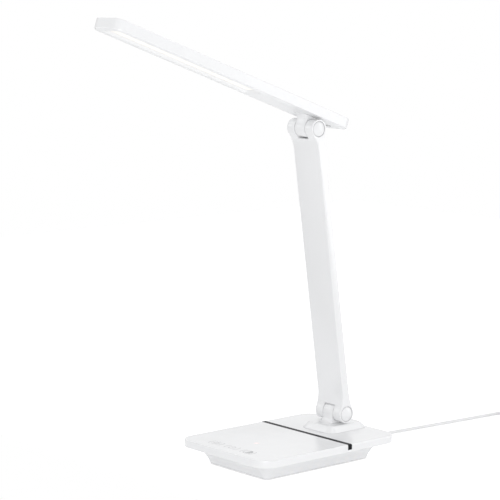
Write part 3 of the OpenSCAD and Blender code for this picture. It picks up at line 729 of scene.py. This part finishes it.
@dataclass
class Studio:
    """The camera, the lights, the world and the floor.

    Args:
        azimuth: where the camera stands round the lamp, in degrees from the front.
        elevation: how high it stands, in degrees.
        lens: its focal length in millimetres.
        sensor: its sensor's width in millimetres.
        distance: how far it is from the target.
        target: the point that it and the lights look at.
        world_level: how much of full white the even light gives.
        light_distance: how far the softboxes are from the target.
        floor_front: where the floor starts, along Y.
        floor_rear: where it ends.
        floor_side: how far it reaches to each side.
        floor_colour: its colour, linear.
        paper_glow: what it adds to itself where it is seen.
        softboxes: the lights.
    """

    azimuth: float = 49.734
    elevation: float = 8.149
    lens: float = 139.3
    sensor: float = 36
    distance: float = 1.8383
    target: Point = (-0.04367, -0.01136, 0.19878)
    world_level: float = 0.572
    light_distance: float = 2.2
    floor_front: float = -0.15
    floor_rear: float = 1.5
    floor_side: float = 1.5
    floor_colour: Colour = (0.98, 0.98, 0.98)
    paper_glow: float = 0.45
    softboxes: Sequence[Softbox] = (
        Softbox("front softbox", 49.7, 8, 0.264, 1.0, 0.8),
        Softbox("left softbox", 5, 10, 0.07, 0.9, 1.5),
        Softbox("right softbox", 142, 12, 0.165, 1.1, 1.5),
        Softbox("top softbox", 0, 90, 0.15, 1.6, 1.6),
        Softbox("rear softbox", -130, 25, 0.05, 1.5, 1.2),
        Softbox("low softbox", 49.7, -50, 0.2, 1.2, 1.2),
        Softbox("left high glint", -72, 37, 0.024, 0.6, 0.6),
        Softbox("right high glint", 157, 46, 0.023, 0.6, 0.6),
        Softbox("head end glint", -53, 18, 0.025, 0.5, 0.5),
        Softbox("corner glint", 49.7, -12, 0.018, 0.4, 0.5),
    )

    @staticmethod
    def towards(azimuth: float, elevation: float) -> Vector:
        """The direction from the lamp to a place round it, both angles in degrees."""
        az, el = math.radians(azimuth), math.radians(elevation)
        return Vector((math.sin(az) * math.cos(el), -math.cos(az) * math.cos(el), math.sin(el)))

    def camera(self) -> None:
        """Sets the camera at the photograph's viewing angle."""
        data = bpy.data.cameras.new("portrait")
        data.lens = self.lens
        data.sensor_width = self.sensor
        data.clip_end = 20
        camera = bpy.data.objects.new("portrait", data)
        bpy.context.scene.collection.objects.link(camera)
        back = self.towards(self.azimuth, self.elevation)
        camera.location = Vector(self.target) + back * self.distance
        camera.rotation_euler = (-back).to_track_quat("-Z", "Y").to_euler()
        bpy.context.scene.camera = camera

    def light(self, box: Softbox) -> None:
        """Sets up one softbox.

        Args:
            box: the softbox.
        """
        data = bpy.data.lights.new(box.name, "AREA")
        data.shape = "RECTANGLE"
        data.size = box.width
        data.size_y = box.height
        data.energy = box.level * math.pi**2 * self.light_distance**2
        light = bpy.data.objects.new(box.name, data)
        bpy.context.scene.collection.objects.link(light)
        direction = self.towards(box.azimuth, box.elevation)
        light.location = Vector(self.target) + direction * self.light_distance
        light.rotation_euler = (-direction).to_track_quat("-Z", "Y").to_euler()

    @staticmethod
    def seen(tree: bpy.types.NodeTree) -> Socket:
        """Asks whether the camera sees a surface, or a gloss or a clear piece shows it.

        Args:
            tree: the nodes that ask.

        Returns:
            1 where it is, and 0 elsewhere.
        """
        path = tree.nodes.new("ShaderNodeLightPath")
        value = path.outputs["Is Camera Ray"]
        for ray in ("Is Glossy Ray", "Is Transmission Ray"):
            either = tree.nodes.new("ShaderNodeMath")
            either.operation = "MAXIMUM"
            tree.links.new(value, either.inputs[0])
            tree.links.new(path.outputs[ray], either.inputs[1])
            value = either.outputs[0]
        return value

    def world(self) -> None:
        """Lights the lamp evenly from all round, and shows plain white behind it."""
        world = bpy.data.worlds.new("even light")
        world.use_nodes = True
        tree = world.node_tree
        even = tree.nodes["Background"]
        even.inputs["Color"].default_value = (0.985, 0.99, 1.0, 1)
        even.inputs["Strength"].default_value = self.world_level
        white = tree.nodes.new("ShaderNodeBackground")
        white.inputs["Color"].default_value = (1, 1, 1, 1)
        mix = tree.nodes.new("ShaderNodeMixShader")
        tree.links.new(self.seen(tree), mix.inputs["Fac"])
        tree.links.new(even.outputs[0], mix.inputs[1])
        tree.links.new(white.outputs[0], mix.inputs[2])
        tree.links.new(mix.outputs[0], tree.nodes["World Output"].inputs["Surface"])
        bpy.context.scene.world = world

    def floor(self) -> None:
        """Lays a white paper floor that ends in front of the base, where the lowered head passes it."""
        bpy.ops.object.select_all(action="DESELECT")
        bpy.ops.mesh.primitive_plane_add(size=1, location=(0, (self.floor_front + self.floor_rear) / 2, 0))
        plane = bpy.context.object
        plane.scale = (2 * self.floor_side, self.floor_rear - self.floor_front, 1)
        settle(plane, "paper_floor")
        paint = Painter("white paper")
        paint.shader.inputs["Base Color"].default_value = (*self.floor_colour, 1)
        paint.shader.inputs["Roughness"].default_value = 0.9
        paint.shader.inputs["Specular IOR Level"].default_value = 0.1
        paint.shader.inputs["Emission Color"].default_value = (1, 1, 1, 1)
        paint.link(
            paint.math("MULTIPLY", self.seen(paint.tree), self.paper_glow), paint.shader.inputs["Emission Strength"]
        )
        plane.data.materials.append(paint.material)

    def build(self) -> None:
        """Builds the studio."""
        self.camera()
        self.world()
        for box in self.softboxes:
            self.light(box)
        self.floor()
        bpy.context.scene.view_settings.view_transform = "Standard"


# ---- The cord ----


@dataclass
class CordPlug:
    """The plug at the cord's far end, which lies along X.

    Args:
        cord_d: how thick the cord is.
        neck: how long the neck is, where the cord goes in.
        neck_proud: how far the neck stands out round the cord at its two ends.
        shoulder: how far the handle's rear is drawn in, twice, and how far it stands out.
        edge: how wide the handle's edges are rounded.
        ridges: how many finger ridges it has.
        ridge: a ridge's size.
        ridge_start: how far the first ridge is from the handle's front end.
        ridge_pitch: the distance between two ridges.
        wall: the steel shell's wall.
        mouth: how deep the shell's mouth is.
        tongue: the size of the tongue in it.
        tongue_at: the tongue's middle, from the shell's rear and above its middle.
        contact: a contact's size.
        contact_at: the contacts' middle, ahead of the tongue's and above the shell's.
        contact_rows: where the contacts lie across the tongue.
    """

    cord_d: float
    neck: float = 6 * MM
    neck_proud: tuple[float, float] = (0.5 * MM, 1.4 * MM)
    shoulder: Point = (1.4 * MM, 0.9 * MM, 1.2 * MM)
    edge: float = 1.1 * MM
    ridges: int = 4
    ridge: Point = (0.8 * MM, 7 * MM, 0.3 * MM)
    ridge_start: float = 4 * MM
    ridge_pitch: float = 2 * MM
    wall: float = 0.35 * MM
    mouth: float = 9 * MM
    tongue: Point = (8.2 * MM, 10.8 * MM, 1.7 * MM)
    tongue_at: tuple[float, float] = (7 * MM, 0.9 * MM)
    contact: Point = (6 * MM, 1.1 * MM, 0.12 * MM)
    contact_at: tuple[float, float] = (0.6 * MM, 0.02 * MM)
    contact_rows: Sequence[float] = (-3.5 * MM, -1 * MM, 1 * MM, 3.5 * MM)

    def handle(self) -> Piece:
        """Moulds the handle, with finger ridges on top and the neck at its rear.

        Returns:
            The handle.
        """
        low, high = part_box("plug_grip")
        rear = low.x + self.neck
        middle = Vector(((rear + high.x) / 2, (low.y + high.y) / 2, (low.z + high.z) / 2))
        handle = add_block("plug_handle", middle, (high.x - rear, high.y - low.y, high.z - low.z))
        pick_faces(handle, lambda at, normal: normal.x < -0.9)
        bpy.ops.mesh.inset(thickness=self.shoulder[0])
        bpy.ops.mesh.extrude_region_move(TRANSFORM_OT_translate={"value": (-self.shoulder[2], 0, 0)})
        bpy.ops.mesh.inset(thickness=self.shoulder[1])
        bpy.ops.object.mode_set(mode="OBJECT")
        apply_bevel(handle, self.edge, 4, 50)
        ridge = add_block("ridge", Vector((high.x - self.ridge_start, middle.y, high.z)), self.ridge)
        apply_bevel(ridge, 0.12 * MM, 2)
        ridges = repeat(ridge, [Vector((-self.ridge_pitch * step, 0, 0)) for step in range(1, self.ridges)])
        bpy.ops.object.select_all(action="DESELECT")
        bpy.ops.mesh.primitive_cone_add(
            vertices=32, radius1=self.cord_d / 2 + self.neck_proud[0], radius2=self.cord_d / 2 + self.neck_proud[1],
            depth=self.neck, location=(low.x + self.neck / 2, middle.y, middle.z), rotation=(0, math.pi / 2, 0),
        )
        neck = settle(bpy.context.object, "neck")
        apply_bevel(neck, 0.35 * MM, 3, 50)
        handle = join([handle, neck, *ridges])
        smooth(handle, 40)
        rename(handle, "plug_handle")
        return fit_piece(handle, Body.BASE, SATIN_WHITE, ["plug_grip"])

    def contact_shell(self) -> Piece:
        """Forms the hollow steel shell.

        Returns:
            The shell.
        """
        low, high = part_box("plug_shell")
        shell = add_block("plug_contact_shell", (low + high) / 2, high - low)
        pick_faces(shell, lambda at, normal: normal.x > 0.9)
        bpy.ops.mesh.inset(thickness=self.wall)
        bpy.ops.mesh.extrude_region_move(TRANSFORM_OT_translate={"value": (-self.mouth, 0, 0)})
        bpy.ops.object.mode_set(mode="OBJECT")
        apply_bevel(shell, 0.12 * MM, 2)
        smooth(shell, 40)
        return fit_piece(shell, Body.BASE, BARE_STEEL, ["plug_shell"])

    def contacts(self) -> list[Piece]:
        """Sets the tongue and the gilt contacts into the shell's mouth.

        Returns:
            The tongue and the contacts.
        """
        low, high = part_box("plug_shell")
        middle = Vector((low.x + self.tongue_at[0], (low.y + high.y) / 2, (low.z + high.z) / 2))
        tongue = add_block("plug_tongue", middle + Vector((0, 0, self.tongue_at[1])), self.tongue)
        apply_bevel(tongue, 0.15 * MM, 2)
        smooth(tongue)
        fit_piece(tongue, Body.BASE, WIRE_BLACK)
        first = self.contact_rows[0]
        start = middle + Vector((self.contact_at[0], first, self.contact_at[1]))
        contact = add_block("contact", start, self.contact)
        contacts = join(repeat(contact, [Vector((0, place - first, 0)) for place in self.contact_rows[1:]]))
        rename(contacts, "plug_contacts")
        fit_piece(contacts, Body.BASE, CONTACT_GOLD)
        return [tongue, contacts]

    def build(self) -> list[Piece]:
        """Builds the plug's pieces and returns them."""
        return [self.handle(), self.contact_shell(), *self.contacts()]


@dataclass
class PowerCord:
    """The thin lead, its spare length in a coil, its strain relief, its strap and its plug.

    Args:
        diameter: how thick the lead is.
        exit: where it leaves the foot's rear wall.
        rest_z: how high its middle lies on the desk.
        turns: how many turns each layer of the coil has.
        climb: the part of a turn in which it rises to the upper layer.
        inner_r: the coil's inner radius.
        gap: the room between two turns.
        low_z: how high the lower layer's middle lies.
        start: where the coil starts.
        rings_per_turn: how many points a turn has.
        plug_z: how high the plug's middle lies.
        plug_run: how far the plug is from the coil's end.
        length: the lead's whole length; not used.
        sleeve: how far the strain relief stands out of the wall.
        ribs: how many ribs it has.
    """

    diameter: float = 3.2 * MM
    exit: Point = (-18 * MM, 91.2 * MM, 7.4 * MM)
    rest_z: float = 1.7 * MM
    turns: float = 5
    climb: float = 0.5
    inner_r: float = 10 * MM
    gap: float = 0.45 * MM
    low_z: float = 2.3 * MM
    start: Point = (-1.8 * MM, 318 * MM, 2.3 * MM)
    rings_per_turn: int = 24
    plug_z: float = 4 * MM
    plug_run: float = 22 * MM
    length: float = 1.4387
    sleeve: float = 19.2 * MM
    ribs: int = 7

    def lead_points(self) -> list[Vector]:
        """Lists the lead's route from the strain relief to the coil, as in the part's source.

        Returns:
            Its points.
        """
        exit_x, exit_y, exit_z = (part / MM for part in self.exit)
        low = self.rest_z / MM
        route = [
            (exit_x, exit_y, exit_z), (exit_x, exit_y + 6, exit_z),
            (-17.9, 102, 7), (-17.4, 109, 6.1), (-16.9, 116, 5), (-16.4, 123, 3.8), (-15.8, 130, 2.7),
            (-15.3, 137, 2), (-14.6, 144, low), (-13.9, 152, low), (-13.2, 160, low), (-12.4, 170, low),
            (-11.6, 180, low), (-10.8, 190, low), (-10, 200, low), (-9.3, 210, low), (-8.5, 220, low),
            (-7.7, 230, low), (-6.9, 240, low), (-6.1, 250, low), (-5.4, 260, low), (-4.6, 270, low),
            (-3.9, 280, low), (-3.1, 290, low), (-2.4, 299, 1.8), (-1.9, 307, 2.1), (-1.8, 313, 2.3),
        ]
        return [Vector(point) * MM for point in route] + [Vector(self.start)]

    def coil_points(self) -> list[Vector]:
        """Winds the coil: a spiral in, a climb in the half turn where it reverses, and a spiral out.

        Returns:
            Its points.
        """
        pitch = self.diameter + self.gap
        outer_r = self.inner_r + pitch * self.turns
        centre = Vector((self.start[0] + outer_r, self.start[1] + self.diameter, 0))
        out_turns = self.turns - 0.25
        all_turns = self.turns + self.climb + out_turns
        steps = round(all_turns * self.rings_per_turn)
        points = []
        for step in range(steps + 1):
            t = step * all_turns / steps
            if t < self.turns + self.climb / 2:
                r = outer_r - pitch * t
            else:
                r = self.inner_r - pitch * self.climb + pitch * (t - self.turns)
            rise = min(1.0, max(0.0, (t - self.turns) / self.climb))
            angle = math.pi - 2 * math.pi * t
            points.append(centre + Vector((r * math.cos(angle), r * math.sin(angle), self.low_z + pitch * rise)))
        return points

    def plug_start(self) -> Vector:
        """The point where the cord enters its plug."""
        end = self.coil_points()[-1]
        return Vector((end.x + self.plug_run, end.y + 1.5 * MM, self.plug_z))

    def route(self) -> list[Vector]:
        """Joins the whole route, from the strain relief to the plug.

        Returns:
            Its points.
        """
        coil = self.coil_points()
        end, plug = coil[-1], self.plug_start()
        tail = [
            end + Vector((6, 0.6, -0.2)) * MM, end + Vector((12, 1.3, -0.9)) * MM,
            plug - Vector((self.diameter, 0, 0)), plug,
        ]
        return self.lead_points() + coil + tail

    def cord(self, pieces: Sequence[Piece]) -> None:
        """Args:
            pieces: the pieces that are on it; not used.
        """
        points = self.route()
        data = bpy.data.curves.new("power_cord", "CURVE")
        data.dimensions = "3D"
        data.bevel_depth = self.diameter / 2
        data.bevel_resolution = 4
        data.use_fill_caps = True
        spline = data.splines.new("POLY")
        spline.points.add(len(points) - 1)
        for knot, point in zip(spline.points, points):
            knot.co = (*point, 1)
        spline.use_smooth = True
        cord = bpy.data.objects.new("power_cord", data)
        bpy.context.scene.collection.objects.link(cord)
        fit_piece(cord, Body.BASE, PALE_JACKET, ["cord_lead", "cord_coil"])

    def relief_profile(self, low_y: float, high_y: float) -> list[tuple[float, float]]:
        """Draws the strain relief's half section, from its inner end to its thin outer end.

        Args:
            low_y: where it starts, inside the foot.
            high_y: where it ends, on the cord.

        Returns:
            Its corners, as a radius in millimetres and a place along Y.
        """
        root = high_y - self.sleeve
        flange = [(0.0, 0.0), (3.6, 0.0), (3.9, 0.3), (3.9, 1.3), (3.2, 1.5)]
        collar = [(3.2, 0.0), (4.0, 0.0), (4.2, 0.2), (4.2, 0.8), (3.8, 1.2), (3.1, 1.2)]
        first, last = root + 2.2 * MM, high_y - 1.6 * MM
        root_r, taper = 3.0, 0.62
        rib = [(-0.32, 0.0), (-0.05, 0.25), (0.0, 0.45), (-0.05, 0.65), (-0.34, 0.9)]
        tip = [(2.28, -0.9), (2.1, -0.2), (1.75, 0.0), (0.0, 0.0)]
        pitch = (last - first) / self.ribs
        profile = [(r, low_y + y * MM) for r, y in flange]
        profile += [(r, root + y * MM) for r, y in collar]
        for count in range(self.ribs):
            crest = root_r - taper * count / (self.ribs - 1)
            profile += [(crest + dip, first + (count + share) * pitch) for dip, share in rib]
        return profile + [(r, high_y + y * MM) for r, y in tip]

    def strain_relief(self) -> Piece:
        """Spins the ribbed rubber sleeve that guards the cord where it leaves the foot.

        Returns:
            The sleeve.
        """
        low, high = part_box("cord_gland")
        middle_x, middle_z = self.exit[0], self.exit[2]
        corners = [(middle_x + r * MM, y, middle_z) for r, y in self.relief_profile(low.y, high.y)]
        data = bpy.data.meshes.new("strain_relief")
        data.from_pydata(corners, [(i, i + 1) for i in range(len(corners) - 1)], [])
        piece = bpy.data.objects.new("strain_relief", data)
        bpy.context.scene.collection.objects.link(piece)
        select_only(piece)
        bpy.ops.object.mode_set(mode="EDIT")
        bpy.ops.mesh.select_all(action="SELECT")
        bpy.ops.mesh.spin(steps=40, angle=2 * math.pi, center=(middle_x, 0, middle_z), axis=(0, 1, 0))
        bpy.ops.object.mode_set(mode="OBJECT")
        face_outwards(piece)
        smooth(piece, 50)
        return fit_piece(piece, Body.BASE, PALE_JACKET, ["cord_gland"])

    def strap(self) -> Piece:
        """The woven strap round the coil."""
        return MouldedCopy("cord_tie", Body.BASE, STRAP_WEAVE, 0.18 * MM, 2).build()

    def build(self) -> None:
        """Builds the cord and what is on it."""
        self.cord([self.strain_relief(), self.strap(), *CordPlug(self.diameter).build()])


# ---- The base ----


@dataclass
class LampBase:
    """The base's touch marks, its pedestal and its pad.

    Args:
        mark_y: where the touch marks are, along Y.
        mark_pitch: the distance between two marks.
        arc_r: the radius of a mark's side arcs.
        stroke: half the width of a printed stroke.
        ink: half the height of the ink.
        moulded: the nodes whose edges are softened.
    """

    mark_y: float = -70 * MM
    mark_pitch: float = 22.8 * MM
    arc_r: float = 7.9 * MM
    stroke: float = 0.34 * MM
    ink: float = 0.05 * MM
    moulded: Sequence[MouldedCopy] = field(
        default_factory=lambda: (
            MouldedCopy("pedestal", Body.BASE, HINGE_WHITE_LIGHTER_SHADE, 0.35 * MM),
            MouldedCopy("rest_pad", Body.BASE, PAD_RUBBER, 0.3 * MM),
        )
    )

    def stroke_line(self, points: Sequence[tuple[float, float]], middle: Vector) -> Piece:
        """One printed stroke as a flat ribbon.

        Args:
            points: its points in millimetres from the mark's middle.
            middle: the mark's middle, on the plate's top.

        Returns:
            The stroke's mesh object.
        """
        data = bpy.data.curves.new("stroke", "CURVE")
        data.dimensions = "3D"
        data.bevel_depth = self.stroke
        data.bevel_resolution = 1
        data.use_fill_caps = True
        spline = data.splines.new("POLY")
        spline.points.add(len(points) - 1)
        for knot, (x, y) in zip(spline.points, points):
            knot.co = (x * MM, y * MM, 0, 1)
        stroke = bpy.data.objects.new("stroke", data)
        bpy.context.scene.collection.objects.link(stroke)
        select_only(stroke)
        bpy.ops.object.convert(target="MESH")
        stroke = bpy.context.object
        stroke.scale = (1, 1, self.ink / self.stroke)
        stroke.location = middle
        return settle(stroke, "stroke")

    @staticmethod
    def arc(r: float, start: float, end: float, steps: int = 16) -> list[tuple[float, float]]:
        """Points on an arc of radius r, from one angle to another in degrees."""
        angles = [math.radians(start + (end - start) * i / steps) for i in range(steps + 1)]
        return [(r * math.cos(a), r * math.sin(a)) for a in angles]

    def mark(self, place: int, lines: Sequence[Sequence[tuple[float, float]]], name: str) -> None:
        """Prints one touch mark between two side arcs.

        Args:
            place: -1, 0 or 1 from left to right.
            lines: the strokes of its sign, in millimetres.
            name: the mark's name.
        """
        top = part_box("base_cover")[1].z
        middle = Vector((place * self.mark_pitch, self.mark_y, top))
        wide = self.arc_r / MM
        sides = [self.arc(wide, -38, 38, 12), self.arc(wide, 142, 218, 12)]
        piece = join([self.stroke_line(line, middle) for line in [*sides, *lines]])
        rename(piece, name)
        smooth(piece, 60)
        fit_piece(piece, Body.BASE, MARK_GREY)

    def touch_marks(self) -> None:
        """Prints the three touch marks: brightness, on and off, and warmth of the light."""
        rays = [
            [(3.7 * math.cos(a), 3.7 * math.sin(a)), (5.3 * math.cos(a), 5.3 * math.sin(a))]
            for a in (math.radians(45 * i) for i in range(8))
        ]
        self.mark(-1, [self.arc(2.3, 0, 360, 24), *rays], "mark_brightness")
        self.mark(0, [self.arc(3.3, -235, 55, 24), [(0, 0.4), (0, 4.4)]], "mark_on_off")
        bars = [[(x, -math.sqrt(4.3**2 - x * x)), (x, math.sqrt(4.3**2 - x * x))] for x in (0.3, 1.4, 2.5, 3.5)]
        self.mark(1, [self.arc(4.6, 0, 360, 28), *bars], "mark_warmth")

    def build(self) -> None:
        """Builds the base."""
        for copy in self.moulded:
            copy.build()
        self.touch_marks()


# ---- The arm and the head ----


@dataclass
class LampArm:
    """The arm: its shell with the forked eyes, its rear cover and its hinge caps.

    Args:
        moulded: the nodes whose edges are softened.
    """

    moulded: Sequence[MouldedCopy] = field(
        default_factory=lambda: (
            MouldedCopy("arm_shell", Body.ARM, HINGE_WHITE_LIGHTER_SHADE, 0.45 * MM),
            MouldedCopy("arm_cover", Body.ARM, SATIN_WHITE, 0.3 * MM),
            MouldedCopy("lower_caps", Body.ARM, HINGE_WHITE_LIGHTER_SHADE, 0.3 * MM),
            MouldedCopy("upper_caps", Body.ARM, HINGE_WHITE_LIGHTER_SHADE, 0.3 * MM),
        )
    )

    def build(self) -> None:
        """Builds the arm."""
        for copy in self.moulded:
            copy.build()


@dataclass
class LightHead:
    """The head: its cover with the light trough, its bracket and the small dark disc behind that, which darkens the
    spot where shade falls behind the knuckle.

    Args:
        plug_at: the middle of the plug's face.
        plug_faces: the direction that it looks in, down from the cover.
        plug_r: its radius.
        plug_t: its thickness.
        plug_proud: how far it stands out of the cover.
        rim: the width of its rim.
        dish: how deep it is dished.
        moulded: the nodes whose edges are softened.
    """

    plug_at: Point = (-1 * MM, 49.5 * MM, 316.7 * MM)
    plug_faces: Point = (0, -0.345, -0.938)
    plug_r: float = 2.5 * MM
    plug_t: float = 1.2 * MM
    plug_proud: float = 0.3 * MM
    rim: float = 0.7 * MM
    dish: float = 0.35 * MM
    moulded: Sequence[MouldedCopy] = field(
        default_factory=lambda: (
            MouldedCopy("head_cover", Body.HEAD, SATIN_WHITE, 0.5 * MM),
            MouldedCopy("head_bracket", Body.HEAD, HINGE_WHITE_LIGHTER_SHADE, 0.35 * MM),
        )
    )

    def dark_shade_disc(self) -> None:
        """Presses a small dark dished disc into the cover behind the bracket: a plug shape that puts a dark mark
        where the knuckle's shade falls.
        """
        down = Vector(self.plug_faces).normalized()
        middle = Vector(self.plug_at) - down * (self.plug_t / 2 - self.plug_proud)
        bpy.ops.object.select_all(action="DESELECT")
        bpy.ops.mesh.primitive_cylinder_add(
            vertices=32, radius=self.plug_r, depth=self.plug_t, location=middle,
            rotation=down.to_track_quat("Z", "Y").to_euler(),
        )
        plug = settle(bpy.context.object, "dark_shade_disc")
        pick_faces(plug, lambda at, normal: normal.dot(down) > 0.95)
        bpy.ops.mesh.inset(thickness=self.rim)
        bpy.ops.mesh.extrude_region_move(TRANSFORM_OT_translate={"value": -self.dish * down})
        bpy.ops.object.mode_set(mode="OBJECT")
        apply_bevel(plug, 0.15 * MM, 2)
        smooth(plug)
        # The black disc darkens the spot where shade falls behind the knuckle: painted shade in the shape of a
        # plug.
        fit_piece(plug, Body.HEAD, WIRE_BLACK)

    def build(self) -> None:
        """Builds the head."""
        for copy in self.moulded:
            copy.build()
        self.dark_shade_disc()


def dress_nodes() -> None:
    """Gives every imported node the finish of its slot."""
    for row in frame["record"]["subparts"]:
        dress(frame["nodes"][row["node"]], CARRIED_OVER[Slot(row["material_slot"])])
    dress(frame["nodes"]["base_cover"], COVER_WHITE_PAINTED_GLOW)


def main() -> None:
    """Builds the portrait: the studio and the cord first, then the lamp from its base up."""
    logging.basicConfig(level=logging.INFO, format="%(name)s: %(message)s")
    Studio().build()
    dress_nodes()
    PowerCord().build()
    LampBase().build()
    LampArm().build()
    LightHead().build()


if __name__ == "__main__":
    main()
